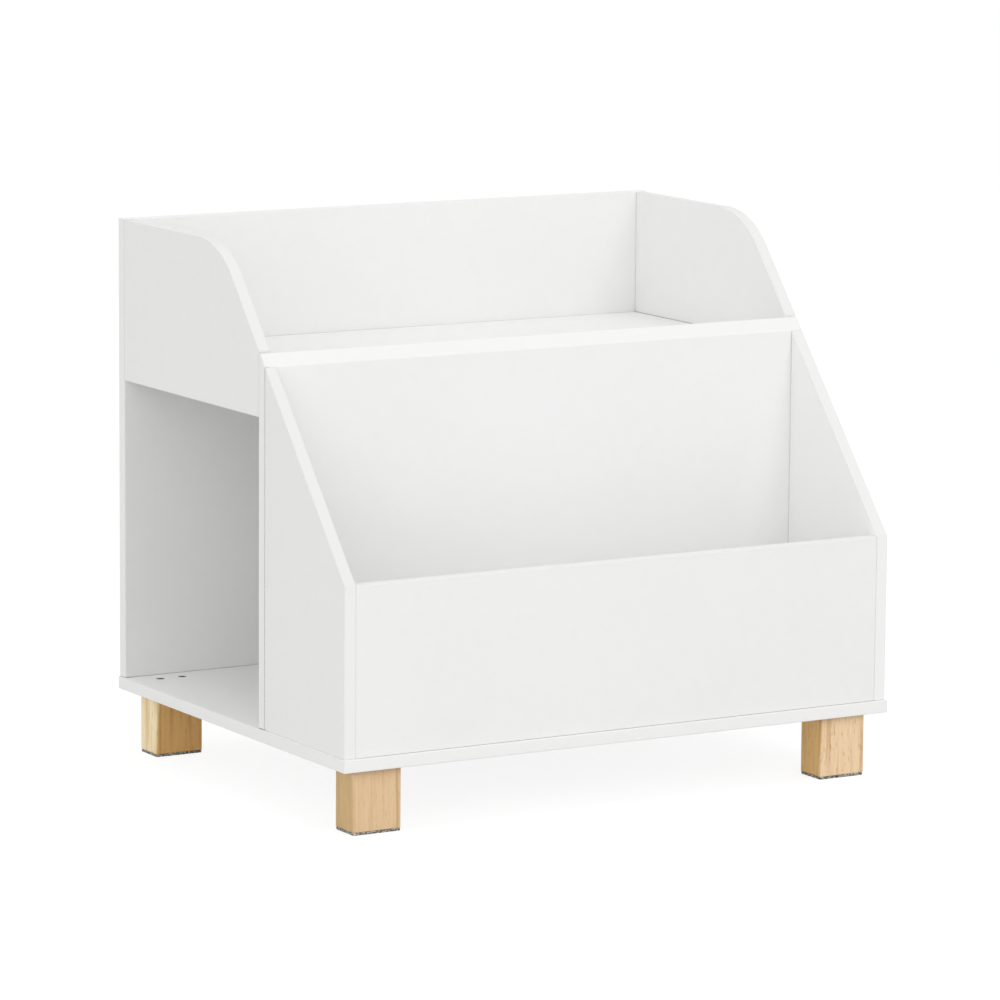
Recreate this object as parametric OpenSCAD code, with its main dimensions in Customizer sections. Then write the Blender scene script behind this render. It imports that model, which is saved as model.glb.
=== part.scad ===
// Children's bookcase of thin white boards on four wooden legs: a sloping book
// trough in front, a toy tray with rounded shoulders on top, and an open cubby
// in each side. The boards are held by dowels, cam locks and screws.
// The origin is on the floor under the middle of the base board.
// The front faces -Y and +Z is up.

/* [Base board] */
// Width of the base board, the widest part of the bookcase
base_w = 600; // [480:1:800]
// Depth of the base board
base_d = 460; // [400:1:600]
// Thickness of every board
board_t = 12; // [11:0.5:16]
// How far the base board reaches past each side
side_overhang = 1.5; // [0.5:0.5:6]
// How far the base board reaches past the front
front_overhang = 3; // [1:0.5:8]
// Bevel that eases the edges of every board
edge_bevel = 0.6; // [0.2:0.1:1]

/* [Book trough] */
// Clear depth from the front panel to the divider
trough_d = 142.5; // [110:0.5:180]
// Height of the front panel above the base board
front_h = 161; // [140:1:220]

/* [Cubbies] */
// Clear height under the tray floor
cubby_h = 317; // [260:1:380]
// How far the tray sides hang below the tray floor, over each cubby's mouth
apron_h = 22; // [18:1:50]

/* [Toy tray] */
// Height of the sides above the tray floor
tray_h = 123; // [110:1:180]
// How far the back stands above the sides
back_rise = 1; // [0.5:0.5:4]
// Height of the divider's front face above the tray floor
lip_h = 14.5; // [10:0.5:30]
// Radius of the rounded shoulder of each tray side
shoulder_r = 90; // [40:1:130]
// Radius that blunts the sharp rear edge of the divider's bevelled top
lip_r = 1.5; // [1:0.1:2]
// Gap at each end of the tray floor
tray_gap = 0.3; // [0.1:0.1:0.8]

/* [Legs] */
// Height of a leg without its pad
leg_h = 60; // [45:1:120]
// Width of a leg, across the bookcase
leg_w = 50; // [40:1:70]
// Depth of a leg, front to back
leg_d = 34; // [24:1:50]
// Radius of a leg's upright edges
leg_r = 0.8; // [0.5:0.1:6]
// Bevel around a leg's foot
leg_bevel = 0.6; // [0.4:0.1:2.5]
// Distance of a leg from the base board's side
leg_inset_x = 17.5; // [15:0.5:60]
// Distance of a leg from the base board's front or rear
leg_inset_y = 14; // [13:0.5:60]
// Thickness of a felt pad
pad_t = 2.5; // [1.5:0.5:5]
// Radius of a felt pad's corners
pad_r = 2; // [1:0.5:6]

/* [Screws] */
// Shank diameter of a leg screw
leg_screw_d = 4; // [3.5:0.5:5]
// Head diameter of a leg screw
leg_screw_head_d = 8; // [7:0.5:10]
// Length of a leg screw
leg_screw_l = 38; // [30:1:42]
// Distance between the two screws of a leg
leg_screw_gap = 24; // [16:1:28]
// Shank diameter of a panel screw
screw_d = 3.5; // [3:0.5:4]
// Head diameter of a panel screw
screw_head_d = 7; // [6:0.5:8]
// Length of a panel screw
screw_l = 30; // [25:1:35]
// Depth of a countersunk head below the face of its board
head_sink = 0.3; // [0.1:0.1:1]
// Distance of the outermost fixings of a board from its ends
fixing_inset = 60; // [45:1:75]

/* [Dowels] */
// Diameter of a dowel
dowel_d = 6; // [5:0.5:7]
// Length of a dowel
dowel_l = 30; // [25:1:35]
// Part of a dowel that sits in the face of a board, the rest sits in an edge
dowel_face_l = 8; // [6:0.5:9]

/* [Cam locks] */
// Diameter of a cam lock
cam_d = 12; // [10:0.5:13]
// Distance of a cam lock's centre from the edge of its board
cam_inset = 24; // [20:1:30]
// Board left under the pocket of a cam lock
cam_skin = 2.5; // [1.5:0.5:3]
// Diameter of a cam bolt and of its head
bolt_d = 5; // [4:0.5:5]
// Diameter of a cam bolt's neck, behind its head
bolt_neck_d = 2.8; // [2:0.2:3.2]
// Length of a cam bolt's head
bolt_head_l = 2.5; // [1.5:0.5:3]
// Part of a cam bolt that is screwed into the face of a board
bolt_face_l = 9; // [7:0.5:9.5]
// Height of the lower cam locks above the base board
low_cam_h = 40; // [36:1:55]
// Height of the upper cam locks of the trough above the base board
high_cam_h = 115; // [90:1:125]

/* [Fits] */
// Clearance around a dowel, bolt, screw or cam lock in its hole
fit = 0.1; // [0.05:0.05:0.2]
// Spare depth at the end of a blind hole
end_gap = 0.5; // [0.3:0.1:0.8]

/* [Hidden] */
$fn = 64;

white = [0.93, 0.93, 0.92];
pine = [0.88, 0.74, 0.55];
felt = [0.45, 0.44, 0.43];
black = [0.08, 0.08, 0.09];
zinc = [0.74, 0.75, 0.77];
beech = [0.82, 0.66, 0.47];

// How far a cut runs on past the face that it opens
overcut = 1;
// Straight rim of a countersunk head, above its cone
head_rim = 0.4;

// Widths of the carcass outside and between its side boards
carcass_w = base_w - 2 * side_overhang;
inner_w = carcass_w - 2 * board_t;
// Middle of a side board's thickness, from the middle of the bookcase
side_x = carcass_w / 2 - board_t / 2;

// Levels, from the floor up
base_z = leg_h + pad_t;
floor_z = base_z + board_t;
front_z = floor_z + front_h;
apron_z = floor_z + cubby_h - apron_h;
tray_z = floor_z + cubby_h;
tray_top_z = tray_z + board_t;
top_z = tray_top_z + tray_h;

// Faces, from the front to the back
front_y = -base_d / 2 + front_overhang;
trough_y = front_y + board_t;
divider_y = trough_y + trough_d;
tray_y = divider_y + board_t;
back_y = base_d / 2 - board_t;
rear_y = base_d / 2;
tray_d = back_y - tray_y;

// The slope of the sides runs on over the divider's top edge
lip_z = tray_top_z + lip_h;
slope = (lip_z - front_z) / (divider_y - front_y);
lip_rear_z = lip_z + slope * board_t;
// Where the slope would meet the level top without the shoulder
corner_y = front_y + (top_z - front_z) / slope;

// Middle of each board's thickness
front_mid_y = (front_y + trough_y) / 2;
divider_mid_y = (divider_y + tray_y) / 2;
back_mid_y = (back_y + rear_y) / 2;
tray_mid_y = (tray_y + back_y) / 2;
trough_mid_y = (front_y + divider_y) / 2;
tray_mid_z = tray_z + board_t / 2;
side_l = divider_y - front_y;

// Evenly spaced places along a length, about its middle
function spread(count, length) =
  [for (i = [0:count - 1]) (i / (count - 1) - 0.5) * length];

// Places of the fixings along the boards
wide_x = carcass_w - 2 * fixing_inset;
back_screw_x = spread(4, wide_x);
divider_screw_x = spread(3, wide_x);
panel_dowel_x = spread(2, wide_x * 3 / 5);
inner_x = inner_w - 2 * fixing_inset;
front_screw_x = spread(3, inner_x);
front_dowel_x = spread(2, inner_x / 2);
tray_fix_x = spread(4, inner_x);
tray_dowel_x = spread(2, inner_x * 2 / 3);
front_side_screw_y = [for (y = spread(2, side_l / 2)) trough_mid_y + y];
tray_fix_y = [for (y = spread(2, tray_d - 2 * fixing_inset)) tray_mid_y + y];
low_z = floor_z + low_cam_h;
high_z = floor_z + high_cam_h;
front_side_dowel_z = [for (i = [1, 2]) high_z + (lip_z - high_z) * i / 3];
apron_mid_z = tray_z - apron_h / 2;
tray_side_screw_z = [apron_mid_z, top_z - fixing_inset / 2];
tray_side_dowel_z = (tray_side_screw_z[0] + tray_side_screw_z[1]) / 2;
divider_top_dowel_z = tray_top_z + lip_h / 2;
partition_fix_z = [floor_z + fixing_inset, tray_z - fixing_inset];
partition_dowel_z = (floor_z + tray_z) / 2;

// Places of the legs
leg_x = base_w / 2 - leg_inset_x - leg_w / 2;
leg_y = base_d / 2 - leg_inset_y - leg_d / 2;

// Outlines of the boards, as seen from the side, the front or above
base_outline = [[-base_w / 2, -base_d / 2], [base_w / 2, -base_d / 2],
                [base_w / 2, base_d / 2], [-base_w / 2, base_d / 2]];
tray_outline = [[-inner_w / 2 + tray_gap, tray_y], [inner_w / 2 - tray_gap, tray_y],
                [inner_w / 2 - tray_gap, back_y], [-inner_w / 2 + tray_gap, back_y]];
back_outline = [[-carcass_w / 2, floor_z], [carcass_w / 2, floor_z],
                [carcass_w / 2, top_z + back_rise], [-carcass_w / 2, top_z + back_rise]];
front_outline = [[-inner_w / 2, floor_z], [inner_w / 2, floor_z],
                 [inner_w / 2, front_z], [-inner_w / 2, front_z]];
partition_outline = [[tray_y, floor_z], [back_y, floor_z], [back_y, tray_z], [tray_y, tray_z]];
front_side_outline = [[front_y, floor_z], [divider_y, floor_z],
                      [divider_y, lip_z], [front_y, front_z]];
divider_outline = [[divider_y, floor_z], [tray_y, floor_z],
                   [tray_y, lip_rear_z], [divider_y, lip_z]];
tray_side_outline = [[tray_y, apron_z], [back_y, apron_z], [back_y, top_z],
                     [corner_y, top_z], [tray_y, lip_rear_z]];

// Corner of an outline: its neighbours, and where a round of radius r touches
function unit(v) = v / norm(v);
function before(pts, i) = pts[(i + len(pts) - 1) % len(pts)];
function after(pts, i) = pts[(i + 1) % len(pts)];
function to_before(pts, i) = unit(before(pts, i) - pts[i]);
function to_after(pts, i) = unit(after(pts, i) - pts[i]);
function half_angle(pts, i) = acos(to_before(pts, i) * to_after(pts, i)) / 2;
function round_centre(pts, i, r) =
  pts[i] + unit(to_before(pts, i) + to_after(pts, i)) * r / sin(half_angle(pts, i));
function round_start(pts, i, r) = pts[i] + to_before(pts, i) * r / tan(half_angle(pts, i));
function round_end(pts, i, r) = pts[i] + to_after(pts, i) * r / tan(half_angle(pts, i));

// Points that stand for corner i: two for a bevelled one, three for the round one
function corner_points(pts, i, round_i, r) =
  i == round_i
    ? [round_start(pts, i, r), round_centre(pts, i, r), round_end(pts, i, r)]
    : [pts[i] + to_before(pts, i) * edge_bevel, pts[i] + to_after(pts, i) * edge_bevel];

// Outline with bevelled corners and, where round_i names one, a round corner
module outline(pts, round_i, r) {
  polygon([for (i = [0:len(pts) - 1]) each corner_points(pts, i, round_i, r)]);
  if (round_i >= 0) {
    c = round_centre(pts, round_i, r);
    intersection() {
      translate(c) circle(r, $fn = 128);
      polygon([c, c + 2 * (round_start(pts, round_i, r) - c),
               c + 2 * r * unit(pts[round_i] - c),
               c + 2 * (round_end(pts, round_i, r) - c)]);
    }
  }
}

// Ends of the bevel cut along side i of an outline: past a plain corner, and
// exactly where a round one starts or ends
function cut_start(pts, i, round_i, r) =
  i == round_i ? round_end(pts, i, r) : pts[i] - to_after(pts, i) * overcut;
function cut_end(pts, i, round_i, r) =
  let (next = (i + 1) % len(pts))
  next == round_i ? round_start(pts, next, r) : pts[next] + to_after(pts, i) * overcut;

// Cuts that bevel the long edges of a board along the sides of its outline
module edge_cuts(pts, t, round_i, r) {
  bar = edge_bevel * sqrt(2);
  for (i = [0:len(pts) - 1], z = [0, t]) {
    from = cut_start(pts, i, round_i, r);
    step = cut_end(pts, i, round_i, r) - from;
    translate([from.x, from.y, z])
      rotate(atan2(step.y, step.x))
        rotate([45, 0, 0])
          translate([0, -bar / 2, -bar / 2])
            cube([norm(step), bar, bar]);
  }
  if (round_i >= 0) {
    c = round_centre(pts, round_i, r);
    from = round_start(pts, round_i, r) - c;
    to = round_end(pts, round_i, r) - c;
    start = atan2(from.y, from.x);
    for (z = [0, t])
      translate([c.x, c.y, z])
        rotate(start)
          rotate_extrude(angle = atan2(to.y, to.x) - start, $fn = 128)
            translate([r, 0]) rotate(45) square(bar, center = true);
  }
}

// Board of thickness t with every edge eased
module board(pts, t = board_t, round_i = -1, r = 0) {
  difference() {
    linear_extrude(t) outline(pts, round_i, r);
    edge_cuts(pts, t, round_i, r);
  }
}

// Stands a board's outline upright: facing the front, or facing the sides
module facing_front(y) {
  translate([0, y + board_t, 0]) rotate([90, 0, 0]) children();
}
module facing_side(x) {
  translate([x, 0, 0]) rotate([90, 0, 90]) children();
}

// Repeats on the left and, mirrored, on the right
module both_sides() {
  children();
  mirror([1, 0, 0]) children();
}

// Turns +Z to point along the bookcase, away from the joint
module to_rear() {
  rotate([-90, 0, 0]) children();
}
module to_front() {
  rotate([90, 0, 0]) children();
}
module to_right() {
  rotate([0, 90, 0]) children();
}

// Countersunk screw, with its point along +Z and its head 0 or more below z = 0
module screw(d, head_d, length) {
  head_l = (head_d - d) / 2;
  point_l = d;
  rotate_extrude()
    polygon([[0, head_sink], [head_d / 2, head_sink], [head_d / 2, head_sink + head_rim],
             [d / 2, head_sink + head_rim + head_l], [d / 2, length - point_l],
             [d / 8, length], [0, length]]);
}

// Hole that a screw passes and enters, with a seat for its head
module screw_hole(d, head_d, length) {
  head_l = (head_d - d) / 2;
  rotate_extrude()
    polygon([[0, -overcut], [head_d / 2 + fit, -overcut],
             [head_d / 2 + fit, head_sink + head_rim],
             [d / 2 + fit, head_sink + head_rim + head_l],
             [d / 2 + fit, length + end_gap], [0, length + end_gap]]);
}

// Leg screw with a hexagon socket
module leg_screw() {
  socket_af = 3;
  socket_l = 2;
  difference() {
    screw(leg_screw_d, leg_screw_head_d, leg_screw_l);
    cylinder(d = socket_af / cos(30), h = head_sink + socket_l, $fn = 6);
  }
}

// Panel screw with a cross recess
module panel_screw() {
  slot_w = 0.8;
  slot_l = screw_head_d * 0.55;
  slot_depth = 1.5;
  difference() {
    screw(screw_d, screw_head_d, screw_l);
    for (a = [0, 90])
      rotate(a)
        translate([-slot_l / 2, -slot_w / 2, 0])
          cube([slot_l, slot_w, head_sink + slot_depth]);
  }
}

module panel_screw_hole() {
  screw_hole(screw_d, screw_head_d, screw_l);
}

// Dowel across a joint at z = 0, with its longer part along +Z
module dowel() {
  tip = 0.8;
  translate([0, 0, -dowel_face_l])
    rotate_extrude()
      polygon([[0, 0], [dowel_d / 2 - tip, 0], [dowel_d / 2, tip],
               [dowel_d / 2, dowel_l - tip], [dowel_d / 2 - tip, dowel_l], [0, dowel_l]]);
}

module dowel_hole() {
  translate([0, 0, -dowel_face_l - end_gap])
    cylinder(d = dowel_d + 2 * fit, h = dowel_l + 2 * end_gap);
}

// Cam joint at z = 0: the bolt sits in the face behind it and runs along +Z into
// the edge of the other board, where the lock lies in a pocket open towards +X
bolt_l = cam_inset + bolt_head_l / 2;
// From the middle of the lock to where the bolt's neck starts, just outside it
neck_l = cam_d / 2 + 1;
cam_depth = board_t - cam_skin;
// Depth of a cam lock's face below the face of its board
cam_recess = 0.3;

module cam_bolt() {
  tip = 0.6;
  rotate_extrude()
    polygon([[0, -bolt_face_l], [bolt_d / 2 - tip, -bolt_face_l],
             [bolt_d / 2, -bolt_face_l + tip], [bolt_d / 2, cam_inset - neck_l],
             [bolt_neck_d / 2, cam_inset - neck_l],
             [bolt_neck_d / 2, cam_inset - bolt_head_l / 2],
             [bolt_d / 2, cam_inset - bolt_head_l / 2], [bolt_d / 2, bolt_l - tip],
             [bolt_d / 2 - tip, bolt_l], [0, bolt_l]]);
}

// Places children with +Z out of the pocket and +X towards the bolt
module in_pocket() {
  translate([board_t / 2 - cam_depth, 0, cam_inset])
    rotate([0, 90, 0])
      children();
}

module cam_lock() {
  play = 0.3;
  wall = 1.8;
  mid = cam_depth - board_t / 2;
  mouth_turn = 110;
  track_start = -15;
  slot_w = 1.2;
  slot_l = cam_d * 0.6;
  slot_depth = 1.4;
  height = cam_depth - cam_recess;
  in_pocket()
    difference() {
      cylinder(d = cam_d, h = height);
      translate([0, 0, mid - bolt_d / 2 - play])
        cylinder(r = cam_d / 2 - wall, h = bolt_d + 2 * play);
      translate([0, 0, mid]) {
        rotate(mouth_turn)
          rotate([0, 90, 0])
            cylinder(r = bolt_d / 2 + play, h = cam_d);
        rotate(track_start)
          rotate_extrude(angle = mouth_turn - track_start)
            translate([cam_d / 4, -bolt_neck_d / 2 - play])
              square([cam_d / 2, bolt_neck_d + 2 * play]);
      }
      for (a = [0, 90])
        rotate(a)
          translate([-slot_l / 2, -slot_w / 2, height - slot_depth])
            cube([slot_l, slot_w, slot_depth + overcut]);
    }
}

module cam_holes() {
  translate([0, 0, -bolt_face_l - end_gap])
    cylinder(d = bolt_d + 2 * fit, h = bolt_face_l + end_gap + cam_inset);
  in_pocket() cylinder(d = cam_d + 2 * fit, h = cam_depth + overcut);
}

// Screws up through the base board into the boards that stand on it
module at_base_screws() {
  spots = [for (x = back_screw_x) [x, back_mid_y],
           for (x = divider_screw_x) [x, divider_mid_y],
           for (x = front_screw_x) [x, front_mid_y],
           for (y = tray_fix_y) [0, y],
           for (x = [-side_x, side_x], y = front_side_screw_y) [x, y]];
  for (p = spots) translate([p.x, p.y, base_z]) children();
}

// Dowels that stand in the base board
module at_base_dowels() {
  spots = [for (x = panel_dowel_x) [x, back_mid_y],
           for (x = panel_dowel_x) [x, divider_mid_y],
           for (x = front_dowel_x) [x, front_mid_y],
           [0, tray_mid_y], [-side_x, trough_mid_y], [side_x, trough_mid_y]];
  for (p = spots) translate([p.x, p.y, floor_z]) children();
}

// Two screws down into each leg
module at_leg_screws() {
  for (x = [-leg_x, leg_x], y = [-leg_y, leg_y], s = [-0.5, 0.5])
    translate([x + s * leg_screw_gap, y, floor_z]) rotate([180, 0, 0]) children();
}

// Screws through the back panel
module at_back_screws() {
  spots = [for (x = [-side_x, side_x], z = tray_side_screw_z) [x, z],
           for (x = tray_fix_x) [x, tray_mid_z],
           for (z = partition_fix_z) [0, z]];
  for (p = spots) translate([p.x, rear_y, p.y]) to_front() children();
}

// Dowels that stand in the front face of the back panel
module at_back_dowels() {
  spots = [[-side_x, tray_side_dowel_z], [side_x, tray_side_dowel_z], [0, partition_dowel_z],
           for (x = tray_dowel_x) [x, tray_mid_z]];
  for (p = spots) translate([p.x, back_y, p.y]) to_front() children();
}

// Dowels that stand in the divider: behind it for the tray, before it for the trough
module at_divider_dowels() {
  spots = [[-side_x, divider_top_dowel_z], [side_x, divider_top_dowel_z],
           [0, partition_dowel_z], for (x = tray_dowel_x) [x, tray_mid_z]];
  for (p = spots) translate([p.x, tray_y, p.y]) to_rear() children();
  for (x = [-side_x, side_x], z = front_side_dowel_z)
    translate([x, divider_y, z]) to_front() children();
}

// Dowels between the front panel's ends and the front sides
module at_front_panel_dowels() {
  both_sides()
    translate([-inner_w / 2, front_mid_y, (low_z + high_z) / 2]) to_right() children();
}

// Dowels between the tray floor's ends and the tray sides
module at_tray_end_dowels() {
  both_sides()
    for (y = tray_fix_y) translate([-inner_w / 2, y, tray_mid_z]) to_right() children();
}

// Dowels that stand in the underside of the tray floor, over the partition
module at_partition_top_dowels() {
  for (y = tray_fix_y) translate([0, y, tray_z]) rotate([180, 0, 0]) children();
}

// Cam joints of each board, with the pocket in its hidden face
module at_front_panel_cams() {
  both_sides()
    for (z = [low_z, high_z])
      translate([-inner_w / 2, front_mid_y, z]) to_right() rotate(90) children();
}
module at_front_side_cams() {
  both_sides()
    for (z = [low_z, high_z]) translate([-side_x, divider_y, z]) to_front() children();
}
module at_tray_floor_cams() {
  for (x = tray_fix_x) translate([x, tray_y, tray_mid_z]) to_rear() rotate(90) children();
}
module at_tray_side_cams() {
  both_sides() translate([-side_x, tray_y, apron_mid_z]) to_rear() children();
}
module at_partition_cams() {
  for (z = partition_fix_z) translate([0, tray_y, z]) to_rear() rotate(180) children();
}

// Boards
module base_board() {
  color(white)
    difference() {
      translate([0, 0, base_z]) board(base_outline);
      at_base_screws() panel_screw_hole();
      at_base_dowels() dowel_hole();
      at_leg_screws() screw_hole(leg_screw_d, leg_screw_head_d, leg_screw_l);
    }
}

module back_panel() {
  color(white)
    difference() {
      facing_front(back_y) board(back_outline);
      at_base_screws() panel_screw_hole();
      at_base_dowels() dowel_hole();
      at_back_screws() panel_screw_hole();
      at_back_dowels() dowel_hole();
    }
}

module divider_panel() {
  color(white)
    difference() {
      facing_side(-carcass_w / 2) board(divider_outline, carcass_w, 2, lip_r);
      at_base_screws() panel_screw_hole();
      at_base_dowels() dowel_hole();
      at_divider_dowels() dowel_hole();
      at_front_side_cams() cam_holes();
      at_tray_floor_cams() cam_holes();
      at_tray_side_cams() cam_holes();
      at_partition_cams() cam_holes();
    }
}

module front_panel() {
  color(white)
    difference() {
      facing_front(front_y) board(front_outline);
      at_base_screws() panel_screw_hole();
      at_base_dowels() dowel_hole();
      at_front_panel_dowels() dowel_hole();
      at_front_panel_cams() cam_holes();
    }
}

module left_front_side() {
  color(white)
    difference() {
      facing_side(-carcass_w / 2) board(front_side_outline);
      at_base_screws() panel_screw_hole();
      at_base_dowels() dowel_hole();
      at_divider_dowels() dowel_hole();
      at_front_panel_dowels() dowel_hole();
      at_front_side_cams() cam_holes();
      at_front_panel_cams() cam_holes();
    }
}

module right_front_side() {
  mirror([1, 0, 0]) left_front_side();
}

module left_tray_side() {
  color(white)
    difference() {
      facing_side(-carcass_w / 2) board(tray_side_outline, board_t, 3, shoulder_r);
      at_divider_dowels() dowel_hole();
      at_back_dowels() dowel_hole();
      at_back_screws() panel_screw_hole();
      at_tray_end_dowels() dowel_hole();
      at_tray_side_cams() cam_holes();
    }
}

module right_tray_side() {
  mirror([1, 0, 0]) left_tray_side();
}

module tray_floor() {
  color(white)
    difference() {
      translate([0, 0, tray_z]) board(tray_outline);
      at_divider_dowels() dowel_hole();
      at_back_dowels() dowel_hole();
      at_back_screws() panel_screw_hole();
      at_tray_end_dowels() dowel_hole();
      at_partition_top_dowels() dowel_hole();
      at_tray_floor_cams() cam_holes();
    }
}

module centre_partition() {
  color(white)
    difference() {
      facing_side(-board_t / 2) board(partition_outline);
      at_base_screws() panel_screw_hole();
      at_base_dowels() dowel_hole();
      at_divider_dowels() dowel_hole();
      at_back_dowels() dowel_hole();
      at_back_screws() panel_screw_hole();
      at_partition_top_dowels() dowel_hole();
      at_partition_cams() cam_holes();
    }
}

// Rectangle about the origin with round corners
module round_rectangle(w, d, r) {
  union() {
    square([w - 2 * r, d], center = true);
    square([w, d - 2 * r], center = true);
    for (x = [-1, 1], y = [-1, 1])
      translate([x * (w / 2 - r), y * (d / 2 - r)]) circle(r, $fn = 32);
  }
}

// Side view of a leg of width w, bevelled around its foot
module leg_profile(w) {
  polygon([[-w / 2 + leg_bevel, 0], [w / 2 - leg_bevel, 0], [w / 2, leg_bevel],
           [w / 2, leg_h], [-w / 2, leg_h], [-w / 2, leg_bevel]]);
}

// Leg under one corner of the base board, x and y being -1 or 1
module leg(x, y) {
  color(pine)
    difference() {
      translate([x * leg_x, y * leg_y, pad_t])
        intersection() {
          linear_extrude(leg_h) round_rectangle(leg_w, leg_d, leg_r);
          translate([0, leg_d / 2, 0]) rotate([90, 0, 0]) linear_extrude(leg_d) leg_profile(leg_w);
          translate([-leg_w / 2, 0, 0]) rotate([90, 0, 90]) linear_extrude(leg_w) leg_profile(leg_d);
        }
      at_leg_screws() screw_hole(leg_screw_d, leg_screw_head_d, leg_screw_l);
    }
}

// Felt pad under the leg at one corner
module felt_pad(x, y) {
  color(felt)
    translate([x * leg_x, y * leg_y, 0])
      linear_extrude(pad_t)
        round_rectangle(leg_w, leg_d, pad_r);
}

module front_left_leg() { leg(-1, -1); }
module front_right_leg() { leg(1, -1); }
module rear_left_leg() { leg(-1, 1); }
module rear_right_leg() { leg(1, 1); }
module front_left_felt_pad() { felt_pad(-1, -1); }
module front_right_felt_pad() { felt_pad(1, -1); }
module rear_left_felt_pad() { felt_pad(-1, 1); }
module rear_right_felt_pad() { felt_pad(1, 1); }

// Fixings
module leg_screws() { color(black) at_leg_screws() leg_screw(); }
module base_screws() { color(zinc) at_base_screws() panel_screw(); }
module back_screws() { color(zinc) at_back_screws() panel_screw(); }
module front_panel_cam_locks() { color(zinc) at_front_panel_cams() cam_lock(); }
module front_panel_cam_bolts() { color(zinc) at_front_panel_cams() cam_bolt(); }
module front_side_cam_locks() { color(zinc) at_front_side_cams() cam_lock(); }
module front_side_cam_bolts() { color(zinc) at_front_side_cams() cam_bolt(); }
module tray_floor_cam_locks() { color(zinc) at_tray_floor_cams() cam_lock(); }
module tray_floor_cam_bolts() { color(zinc) at_tray_floor_cams() cam_bolt(); }
module tray_side_cam_locks() { color(zinc) at_tray_side_cams() cam_lock(); }
module tray_side_cam_bolts() { color(zinc) at_tray_side_cams() cam_bolt(); }
module partition_cam_locks() { color(zinc) at_partition_cams() cam_lock(); }
module partition_cam_bolts() { color(zinc) at_partition_cams() cam_bolt(); }
module base_dowels() { color(beech) at_base_dowels() dowel(); }
module back_dowels() { color(beech) at_back_dowels() dowel(); }
module divider_dowels() { color(beech) at_divider_dowels() dowel(); }
module front_panel_dowels() { color(beech) at_front_panel_dowels() dowel(); }
module tray_end_dowels() { color(beech) at_tray_end_dowels() dowel(); }
module partition_top_dowels() { color(beech) at_partition_top_dowels() dowel(); }

base_board();
back_panel();
divider_panel();
front_panel();
left_front_side();
right_front_side();
left_tray_side();
right_tray_side();
tray_floor();
centre_partition();
front_left_leg();
front_right_leg();
rear_left_leg();
rear_right_leg();
front_left_felt_pad();
front_right_felt_pad();
rear_left_felt_pad();
rear_right_felt_pad();
leg_screws();
base_screws();
back_screws();
front_panel_cam_locks();
front_panel_cam_bolts();
front_side_cam_locks();
front_side_cam_bolts();
tray_floor_cam_locks();
tray_floor_cam_bolts();
tray_side_cam_locks();
tray_side_cam_bolts();
partition_cam_locks();
partition_cam_bolts();
base_dowels();
back_dowels();
divider_dowels();
front_panel_dowels();
tray_end_dowels();
partition_top_dowels();
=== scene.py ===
"""Finishes of a low white children's bookcase on four pine legs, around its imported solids."""

import math
import random

import bmesh
import bpy
from bpy.props import FloatProperty, FloatVectorProperty, IntProperty, PointerProperty
from mathutils import Matrix, Vector, noise


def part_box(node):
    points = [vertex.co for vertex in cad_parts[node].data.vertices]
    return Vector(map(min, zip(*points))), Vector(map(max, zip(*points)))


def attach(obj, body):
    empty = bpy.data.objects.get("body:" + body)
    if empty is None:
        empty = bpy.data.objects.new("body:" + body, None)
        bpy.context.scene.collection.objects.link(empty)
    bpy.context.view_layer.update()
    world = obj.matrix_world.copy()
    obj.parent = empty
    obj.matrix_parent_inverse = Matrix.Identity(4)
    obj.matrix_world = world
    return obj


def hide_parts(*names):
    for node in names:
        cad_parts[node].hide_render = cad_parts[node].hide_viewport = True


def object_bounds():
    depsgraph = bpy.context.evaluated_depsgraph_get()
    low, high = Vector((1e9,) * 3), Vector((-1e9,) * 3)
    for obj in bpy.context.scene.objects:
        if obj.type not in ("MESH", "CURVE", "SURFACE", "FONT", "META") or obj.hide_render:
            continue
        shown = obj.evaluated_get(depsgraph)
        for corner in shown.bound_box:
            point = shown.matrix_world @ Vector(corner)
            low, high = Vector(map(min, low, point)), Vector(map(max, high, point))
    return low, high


bl_info = {
    "name": "Kids Bookcase",
    "version": (1, 0, 0),
    "blender": (4, 5, 0),
    "location": "View3D > Sidebar > Bookcase",
    "description": "Lacquers the boards, finishes the legs and fixings, and makes the felt pads",
    "category": "Object",
}

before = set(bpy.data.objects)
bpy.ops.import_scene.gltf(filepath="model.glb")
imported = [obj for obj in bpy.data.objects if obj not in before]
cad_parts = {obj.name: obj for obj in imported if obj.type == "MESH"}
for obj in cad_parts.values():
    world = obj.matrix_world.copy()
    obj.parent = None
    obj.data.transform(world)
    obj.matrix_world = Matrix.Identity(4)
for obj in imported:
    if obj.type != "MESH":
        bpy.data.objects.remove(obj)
CAD_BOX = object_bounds()

BODY = "root"

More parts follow.
